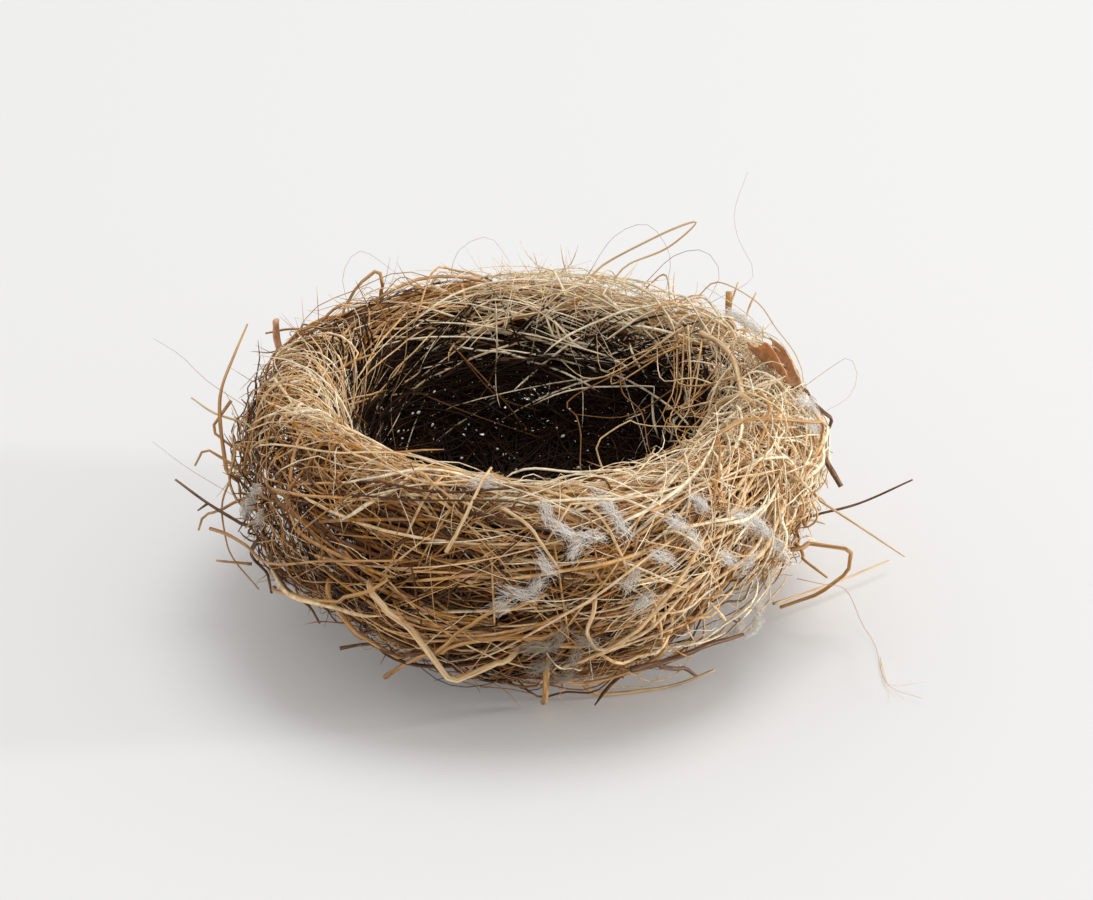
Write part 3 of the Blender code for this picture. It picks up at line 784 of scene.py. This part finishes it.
def front_stems():
    pale_stem("kinked_straw_front", 1.3, [(-118, 61, 30), (-111, 62, 25), (-104, 61, 14), (-95, 58, 18)],
              kinked=True, taper=0.9)
    grass_stem("crossing_straw_front", 1.0,
               [(-126, 48, 3), (-118, 53, 10), (-111, 58, 17), (-105, 60, 22), (-102, 60, 26), (-94, 60, 32)],
               over=0.3)
    grass_stem("curved_straw_front", 1.0, [(-106, 58, 21), (-101, 59, 23), (-95, 59, 24), (-88, 59, 24)])
    grass_stem("stub_straw_front", 1.3, [(-87, 57, 14), (-87, 52, 6), (-87, 45, 1)], taper=0.9)
    grass_stem("long_straw_front", 0.9, [(-84, 54, 12), (-79, 52, 10), (-71, 53, 11), (-64, 56, 15)])
    pale_stem("trailing_straw_front", 0.9, [(-73, 44, 1), (-62, 46, 1), (-54, 49, 2), (-48, 53, 5)])
    brown_stem("dark_twig_front", 1.2, [(-71, 56, 15), (-62, 56, 15), (-54, 57, 16), (-46, 57, 15)], over=1.4)
    brown_stem("dark_twig_low", 1.1, [(-62, 53, 10), (-54, 50, 6), (-49, 49, 2)])
    pale_stem("looped_straw_front", 0.9,
              [(-79, 60, 29), (-80, 60, 25), (-78, 60, 21), (-74, 60, 21), (-71, 60, 24)], over=0.3)
    pale_stem("pale_straw_rim", 0.8,
              [(-99, 48, 50), (-92, 49, 50), (-87, 50, 49), (-79, 53, 47), (-76, 55, 45), (-73, 58, 38)])
    pale_stem("forked_straw_rim", 0.8, [(-105, 58, 40), (-103, 56, 44), (-101, 52, 48), (-99, 46, 52)],
              over=1.1)
    pale_stem("pale_straw_front", 0.8, [(-94, 54, 47), (-90, 56, 45), (-86, 59, 40)])


def left_stems():
    grass_stem("long_straw_left", 1.0,
               [(-157, 55, 13), (-144, 60, 20), (-131, 61, 25), (-120, 61, 30), (-115, 61, 34)], over=1.3)
    grass_stem("wrapping_straw_left", 0.7,
               [(-168, 65, 22), (-165, 62, 22), (-158, 60, 23), (-145, 61, 26), (-130, 61, 33),
                (-116, 60, 37)])
    grass_stem("bowed_straw_left", 0.45,
               [(-173, 59, 32), (-171, 62, 26), (-169, 62, 20), (-166, 61, 16), (-161, 57, 11)], over=1.0)
    brown_stem("brown_blade_left", 1.5, [(-158, 58, 21), (-159, 56, 17), (-159, 55, 11)], flat=0.4, taper=0.9)
    brown_stem("hanging_straw_left", 0.8, [(-146, 59, 25), (-143, 56, 20), (-139, 54, 13)])
    brown_stem("curled_straw_left", 0.8, [(-134, 53, 9), (-130, 50, 10), (-124, 48, 11)])
    grass_stem("sweeping_straw_left", 1.1, [(-128, 60, 26), (-124, 59, 21), (-119, 56, 16), (-117, 55, 14)])
    brown_stem("twig_left", 0.8, [(-167, 59, 23), (-169, 65, 27), (-172, 71, 31)],
               shoots=([(-169, 65, 27), (-170, 67, 25)],))
    grass_stem("bent_straw_left", 0.7, [(-174, 59, 32), (-175, 65, 36), (-175, 67, 32)], kinked=True)
    pale_stem("level_straw_left", 0.6, [(176, 59, 37), (175, 64, 38), (173, 69, 40)])
    grass_stem("kinked_straw_left", 0.7, [(177, 60, 42), (180, 64, 37), (-179, 60, 34)], kinked=True)
    grass_stem("tall_blade_left", 1.2,
               [(-177, 61, 30), (180, 62, 39), (176, 62, 44), (168, 61, 48), (161, 61, 51)],
               flat=0.8, taper=0.4)
    grass_stem("stub_straw_left", 0.7, [(-168, 57, 13), (-169, 64, 14)])
    grass_stem("hooked_straw_left", 0.7, [(-170, 60, 26), (-169, 63, 25), (-170, 66, 24), (-171, 67, 20)],
               kinked=True)


def back_stems():
    leaf_blade("orange_blade_back", 2.2, [(151, 59, 39), (150, 61, 43), (150, 61, 47)], flat=0.6, taper=0.9)
    grass_stem("level_straw_back", 0.7, [(143, 57, 43), (147, 60, 44), (151, 63, 44)])
    grass_stem("folded_blade_back", 1.0, [(125, 54, 46), (125, 56, 52), (130, 57, 49), (133, 58, 44)],
               kinked=True, flat=0.5)
    pale_stem("folded_straw_top", 0.5,
              [(75, 48, 50), (71, 50, 53), (60, 56, 59), (55, 60, 61), (59, 55, 56), (66, 50, 53),
               (69, 48, 50)], taper=0.8)
    pale_stem("dark_tipped_stem_back", 0.6, [(45, 57, 43), (45, 59, 46), (45, 61, 50)])
    pale_stem("thin_stem_back", 0.6, [(37, 55, 43), (39, 58, 47), (39, 60, 50)])
    grass_stem("flared_stem_back", 1.1, [(41, 54, 42), (42, 55, 44), (43, 56, 50)], taper=1.3)
    pale_stem("seed_stem_back", 0.35,
              [(56, 54, 45), (52, 56, 46), (48, 58, 50), (39, 60, 48), (30, 58, 46), (21, 57, 45),
               (10, 55, 46), (1, 54, 47)])


def right_stems():
    brown_stem("twig_right", 1.1, [(3, 56, 34), (0, 59, 30), (-3, 62, 26)], taper=1.1)
    brown_stem("curled_stem_right", 1.0, [(2, 54, 44), (0, 58, 41), (2, 60, 38), (0, 58, 35)])
    grass_stem("looped_straw_right", 0.9,
               [(-38, 46, 50), (-31, 47, 51), (-25, 50, 50), (-15, 56, 46), (-11, 58, 44), (-12, 58, 41),
                (-15, 57, 38)], over=0.4)
    grass_stem("leaning_straw_right", 0.8, [(-13, 46, 50), (-20, 49, 50), (-31, 51, 48)])
    brown_stem("grey_straw_right", 0.6, [(-8, 57, 22), (-9, 66, 26), (-9, 76, 32)])
    pale_stem("yellow_straw_right", 0.6, [(-10, 57, 27), (-13, 65, 24), (-15, 76, 19)])
    grass_stem("folded_straw_right", 0.9,
               [(-20, 56, 22), (-18, 66, 21), (-15, 65, 14), (-18, 60, 10), (-17, 52, 5)],
               kinked=True, taper=0.8)
    grass_stem("short_straw_right", 0.8, [(-23, 56, 21), (-26, 64, 19)])
    pale_stem("seed_straw_right", 0.6, [(-14, 50, 4), (-2, 61, 3), (6, 74, 3)])
    pale_stem("thick_stem_rim", 1.2, [(31, 41, 48), (20, 41, 49), (9, 41, 49), (-2, 41, 49), (-10, 42, 49)],
              taper=0.9)
    pale_stem("crossing_stem_rim", 1.2,
              [(-15, 42, 50), (-8, 37, 45), (-10, 34, 40), (-24, 34, 38), (-33, 38, 42)],
              taper=0.8, over=0.3)


# -------- down and the leaf scrap


WISP_ROUND = 0.0006  # how far fibres stray sideways from the middle of their wisp
WISP_FIBRES = 105
WISP_STEPS = 9
WISP_WIDTHS = (0.035, 0.095)


def tuft(name, tone, *wisps):
    """Fine curling fibres in streaks on the wall. Each wisp is (angle, turn, lean up from the level, length),
    in degrees and mm."""
    made = Strands()
    n, steps = WISP_FIBRES, WISP_STEPS
    for middle, tilt, lean, long in wisps:
        middle, tilt, lean = math.radians(middle), math.radians(tilt), math.radians(lean)
        radius, _ = section(middle, tilt)
        along, across = rng.normal(0, 0.22, n) * long * MM, rng.normal(0, WISP_ROUND, n)
        angles = middle + (along * math.cos(lean) - across * math.sin(lean)) / radius
        turns = tilt + (along * math.sin(lean) + across * math.cos(lean)) / np.hypot(*slope(middle, tilt))
        length = rng.uniform(0.25, 0.8, n) * long * MM
        toward = lean + rng.normal(0, 0.35, n) - flow(angles, turns)
        over, under = wander(angles, turns, toward, length, rng.normal(0, 200, n), steps, sway=0.15)
        share = np.linspace(-1, 1, steps)[None]
        wave = np.sin(rng.uniform(1, 5, n)[:, None] * share + rng.uniform(0, math.tau, n)[:, None])
        out = 0.0008 + rng.uniform(0, 0.0015, n)[:, None] + 0.0004 * wave
        tones = np.clip(rng.normal(tone, 0.1, n), 0.02, 0.98)
        halves = widths(n, steps, rng.uniform(*WISP_WIDTHS, n) * MM)
        made.add(wall_point(over, under, out), halves, tones, 3, 0.6)
    made.piece(f"fine_{name}", DOWN, "plant_down", name)


def down_tufts():
    tuft("down_tuft_front_high", 0.95,
         (-84, 48, -35, 6), (-87, 60, -70, 5), (-100, 80, 20, 6), (-75, 63, -50, 6), (-73, 50, -60, 6),
         (-79, 44, -10, 5), (-82, 38, 60, 4))
    tuft("down_tuft_front_mid", 0.75,
         (-92, 16, -10, 7), (-87, 30, -50, 5), (-95, 9, 20, 4), (-89, 20, 60, 4), (-72, 18, 50, 5),
         (-70, 6, 30, 5))
    tuft("down_tuft_front_low", 0.3,
         (-85, -8, 60, 6), (-88, -22, 40, 6), (-82, -18, 80, 6), (-80, -10, -30, 5), (-89, -12, 0, 6),
         (-84, -30, 10, 5))
    tuft("down_tuft_front_right", 0.95,
         (-61, 40, -50, 7), (-55, 50, -60, 5), (-59, 31, -70, 5), (-66, 27, -30, 5))
    tuft("down_tuft_side_right", 0.97,
         (-46, 32, -35, 7), (-40, 16, -60, 7), (-52, 16, -40, 5), (-42, 25, -65, 6), (-37, 4, -50, 6),
         (-46, 8, 30, 5))
    tuft("down_tuft_low_right", 0.75,
         (-40, -28, -50, 6), (-47, -26, 70, 6), (-37, -38, 10, 5), (-43, -18, -70, 5))
    tuft("down_tuft_right", 0.95, (-8, 54, -30, 6), (-13, 44, -50, 6), (-5, 46, 60, 5), (-8, 38, 0, 4))
    tuft("down_tuft_back_right", 0.85, (30, 70, -20, 6), (33, 74, 50, 5), (27, 66, 0, 5))
    tuft("down_tuft_left", 0.6, (-154, 18, 70, 4), (-148, 16, 60, 4), (-157, 10, 80, 4), (-152, 28, 20, 3))
    tuft("down_tuft_low_left", 0.7, (-169, -42, 60, 5), (-167, -34, 20, 5), (-171, -50, 80, 4))


def leaf_scrap():
    """A scrap of dead leaf curled into a trough along the wall, with one edge turned back as a flap."""
    rows, columns = 22, 18
    lengthwise, across = np.meshgrid(np.linspace(0, 1, rows), np.linspace(0, 1, columns), indexing="ij")
    angle = np.radians(13 - 16 * lengthwise)
    trough = 0.0021 + 0.0004 * np.sin(5 * lengthwise) - 0.0005 * lengthwise
    curl = np.radians(-150 + 250 * np.minimum(across, 0.75) / 0.75)
    torn = 1 + 0.14 * np.sin(9 * lengthwise) * across + 0.1 * np.sin(17 * lengthwise + 3) * (1 - across)
    sideways = trough * np.sin(curl) * torn
    outward = 0.0020 - trough * np.cos(curl)
    flap = np.maximum(0, across - 0.75) / 0.25
    reach = 0.0034 * flap * np.exp(-(((lengthwise - 0.62) / 0.22) ** 2))
    outward = outward + reach
    sideways = sideways + 0.4 * reach
    turn = np.radians(84 - 20 * lengthwise)
    dr, dz = slope(angle, turn)
    points = wall_point(angle, turn + sideways / np.hypot(dr, dz), outward)
    thin_sheet("fine_leaf_scrap_right", points, 0.00022, leaf_look(), "dead_leaf", "leaf_scrap_right")


def thin_sheet(name, points, thick, look, slot, cad_node):
    """A closed sheet of this thickness on a grid of points, mapped with its rows going up."""
    rows, columns, _ = points.shape
    normal = unit(np.cross(np.gradient(points, axis=0), np.gradient(points, axis=1)))
    corners = np.concatenate([(points + side * normal * thick / 2).reshape(-1, 3) for side in (1, -1)])
    grid = np.arange(rows * columns).reshape(rows, columns)
    quads = np.stack([grid[:-1, :-1], grid[:-1, 1:], grid[1:, 1:], grid[1:, :-1]], -1).reshape(-1, 4)
    edge = np.concatenate([grid[0], grid[1:, -1], grid[-1, -2::-1], grid[-2:0:-1, 0]])
    after = np.roll(edge, -1)
    under = grid.size
    rim = np.stack([edge, after, under + after, under + edge], -1)
    inner = 1 - 2 * WHOLE_EDGE
    up, across = np.meshgrid(np.linspace(0, 1, rows), np.linspace(0, 1, columns), indexing="ij")
    place = WHOLE_EDGE + inner * np.stack([across, up], -1).reshape(-1, 2)
    rim_place = np.concatenate([place, 0.5 + inner * (place - 0.5)])
    mesh = bpy.data.meshes.new(name)
    mesh.from_pydata(corners.tolist(), [], np.concatenate([quads[:, ::-1], quads + under, rim]).tolist())
    places = np.concatenate([place[quads[:, ::-1]], place[quads], rim_place[rim]])
    stand_in(mesh, places, look, slot, cad_node)


# -------- hairs and loose straws


def routed(into, wide, tone, route, taper=0.5):
    """One strand along a route."""
    path = np.array(smooth_path(placed(route)))[::2]
    share = np.linspace(0, 1, len(path))
    into.add(path[None], (wide * MM / 2 * (1 - (1 - taper) * share))[None], np.array([tone]), 4)


# Fine hairs and straws that stand off the nest or trail over the ground: width in mm, tone and route.
HAIRS = (
    (0.14, 0.5,
     [(-24, 57, 16), (-24, 62, 16), (-9, 64, 6), (-14, 68, 2), (-19, 72, 1), (-29, 79, 1), (-30, 87, 1)]),
    (0.10, 0.8, [(-22, 74, 1), (-29, 79, 1), (-27, 86, 2)]),
    (0.10, 0.8, [(-22, 74, 1), (-29, 79, 1), (-31, 84, 0.6)]),
    (0.10, 0.8, [(-22, 74, 1), (-29, 79, 1), (-33, 82, 1)]),
    (0.10, 0.45, [(48, 56, 46), (46, 67, 49), (49, 66, 57), (50, 66, 63), (48, 67, 72)]),
    (0.10, 0.5, [(14, 57, 40), (13, 62, 44), (11, 65, 47), (8, 66, 45), (6, 64, 41), (5, 58, 38)]),
    (0.10, 0.35, [(-169, 57, 26), (-172, 68, 33), (-173, 75, 39)]),
    (0.12, 0.45, [(-176, 55, 43), (-178, 64, 49), (-179, 69, 54), (-178, 75, 59)]),
    (0.10, 0.45, [(135, 54, 46), (133, 58, 52), (127, 60, 55), (121, 58, 50), (118, 54, 47)]),
    (0.10, 0.45, [(110, 52, 46), (106, 57, 52), (99, 58, 54), (94, 54, 48)]),
    (0.70, 0.7, [(-61, 58, 23), (-56, 60.6, 23), (-52, 58, 23)]),
    (0.16, 0.3, [(62, 50, 49), (58, 56, 54), (53, 60, 55), (49, 60, 51), (49, 56, 46)]),
    (0.14, 0.4, [(76, 48, 50), (72, 56, 56), (66, 60, 58), (60, 58, 53), (58, 53, 47)]),
)


def loose_hairs():
    made = Strands()
    for width, tone, route in HAIRS:
        routed(made, width, tone, route)
    made.piece("loose_hairs", *WALL_GRASS)


def cup_straws():
    """Straws that cross the cup, and loose ends that bulge into it on the right."""
    made = Strands()
    routed(made, 0.45, 0.75,
           [(-60, 33, 34), (-49, 21, 37), (-48, 19, 40), (-41, 18, 41), (-31, 19, 42), (-22, 21, 43),
            (-20, 24, 42), (-14, 36, 42)])
    routed(made, 0.40, 0.3,
           [(48, 38, 40), (52, 13, 39), (0, 9, 40), (-46, 14, 41), (-68, 26, 40), (-72, 42, 48)])
    routed(made, 0.35, 0.35, [(60, 37, 38), (40, 24, 38), (5, 22, 40), (-40, 30, 42), (-52, 41, 48)])
    for _ in range(34):
        start = rng.uniform(-35, 45)
        width = rng.uniform(15, 55) * rng.choice([-1, 1])
        deep = rng.uniform(26, 34)
        low = rng.uniform(35, 42)
        route = [(start, 40, rng.uniform(44, 49)), (start + 0.3 * width, 0.5 * (deep + 38), low + 3),
                 (start + 0.6 * width, deep, low), (start + width, 39, low + rng.uniform(-3, 4))]
        routed(made, rng.uniform(0.2, 0.5), rng.uniform(0.45, 0.9), route)
    for _ in range(16):
        start = rng.uniform(-180, 180)
        width = rng.uniform(20, 70) * rng.choice([-1, 1])
        route = [(start, 37, rng.uniform(34, 40)), (start + 0.4 * width, 31, rng.uniform(24, 32)),
                 (start + width, 31.5, rng.uniform(16, 28))]
        routed(made, rng.uniform(0.15, 0.4), rng.uniform(0.1, 0.5), route)
    made.piece("cup_straws", *WALL_GRASS)


def rootlet_edge():
    """Rootlets that climb unevenly from the cup onto the wall's inner face."""
    made = Strands()
    n, steps = 700, 10
    angle = rng.uniform(-math.pi, math.pi, n)
    reach = 0.3 + 0.45 * near(angle, math.radians(170), 0.8)
    turn = math.pi + rng.uniform(-1, 0.5, n) * reach
    heading = rng.normal(0, 0.5, n)
    length = rng.uniform(15, 40, n) * MM
    angles, turns = wander(angle, turn, heading, length, rng.normal(0, 12, n), steps, sway=0.1)
    out = -rng.uniform(-0.2, 1.6, n)[:, None] * MM
    tones = np.clip(rng.normal(0.22, 0.16, n), 0.02, 0.9)
    made.add(wall_point(angles, turns, out), widths(n, steps, rng.uniform(0.2, 0.6, n) * MM), tones, 3)
    made.piece("rootlet_edge", ROOTLETS, "rootlet", "cup_lining")


# -------- camera, light and floor

CAMERA_TARGET = Vector((0.003, 0.0, 0.0325))
CAMERA_ELEVATION = 27
CAMERA_DISTANCE = 0.65
CAMERA_LENS = 107.05
CAMERA_NEAREST = 0.01
FRONT = -90

DAYLIGHT = 0.62
FLOOR_HALF = 6.0
FLOOR_GREY = 0.71
FLOOR_GLOW = (1.0, 0.96, 0.92, 1)  # lightens the nest's own shadow
FLOOR_GLOW_STRENGTH = 0.12


def aim(made, azimuth, elevation, distance, target=Vector((0, 0, 0))):
    """Places an object this far from the target, in degrees round and up, and turns it to face it."""
    a, e = math.radians(azimuth), math.radians(elevation)
    toward = Vector((math.cos(a) * math.cos(e), math.sin(a) * math.cos(e), math.sin(e)))
    made.location = target + toward * distance
    made.rotation_euler = toward.to_track_quat("Z", "Y").to_euler()


def camera():
    data = bpy.data.cameras.new("camera")
    data.lens = CAMERA_LENS
    data.sensor_width = 36
    data.clip_start = CAMERA_NEAREST
    bpy.context.scene.camera = linked("camera", data)
    aim(bpy.context.scene.camera, FRONT, CAMERA_ELEVATION, CAMERA_DISTANCE, CAMERA_TARGET)


def area_light(name, size, power, azimuth, elevation, distance):
    data = bpy.data.lights.new(name, "AREA")
    data.shape = "DISK"
    data.size = size
    data.energy = power
    aim(linked(name, data), azimuth, elevation, distance)


def studio():
    """Light from all round, a large soft light overhead, a small low one at the right, and a pale floor that
    glows a little, though it is no lamp, to lighten the nest's shadow.
    """
    world = bpy.data.worlds.new("studio")
    bpy.context.scene.world = world
    world.use_nodes = True
    background = world.node_tree.nodes["Background"].inputs
    background["Color"].default_value = (1, 1, 1, 1)
    background["Strength"].default_value = DAYLIGHT
    area_light("overhead", size=1.9, power=41, azimuth=40, elevation=74, distance=3.2)
    area_light("low", size=0.2, power=18, azimuth=0, elevation=9, distance=1.8)
    mesh = bpy.data.meshes.new("floor")
    corners = [(FLOOR_HALF * x, FLOOR_HALF * y, 0) for x, y in ((-1, -1), (1, -1), (1, 1), (-1, 1))]
    mesh.from_pydata(corners, [], [(0, 1, 2, 3)])
    look, _, shader = new_look("floor")
    shader.inputs["Base Color"].default_value = (FLOOR_GREY, FLOOR_GREY, FLOOR_GREY, 1)
    shader.inputs["Emission Color"].default_value = FLOOR_GLOW
    shader.inputs["Emission Strength"].default_value = FLOOR_GLOW_STRENGTH
    shader.inputs["Roughness"].default_value = 0.9
    mesh.materials.append(look)
    floor = linked("floor", mesh)
    bpy.context.scene.view_settings.view_transform = "Standard"


camera()
studio()
grass_wall()
underside()
cup_lining()
rootlet_edge()
flecks()
front_stems()
left_stems()
back_stems()
right_stems()
down_tufts()
leaf_scrap()
loose_hairs()
cup_straws()
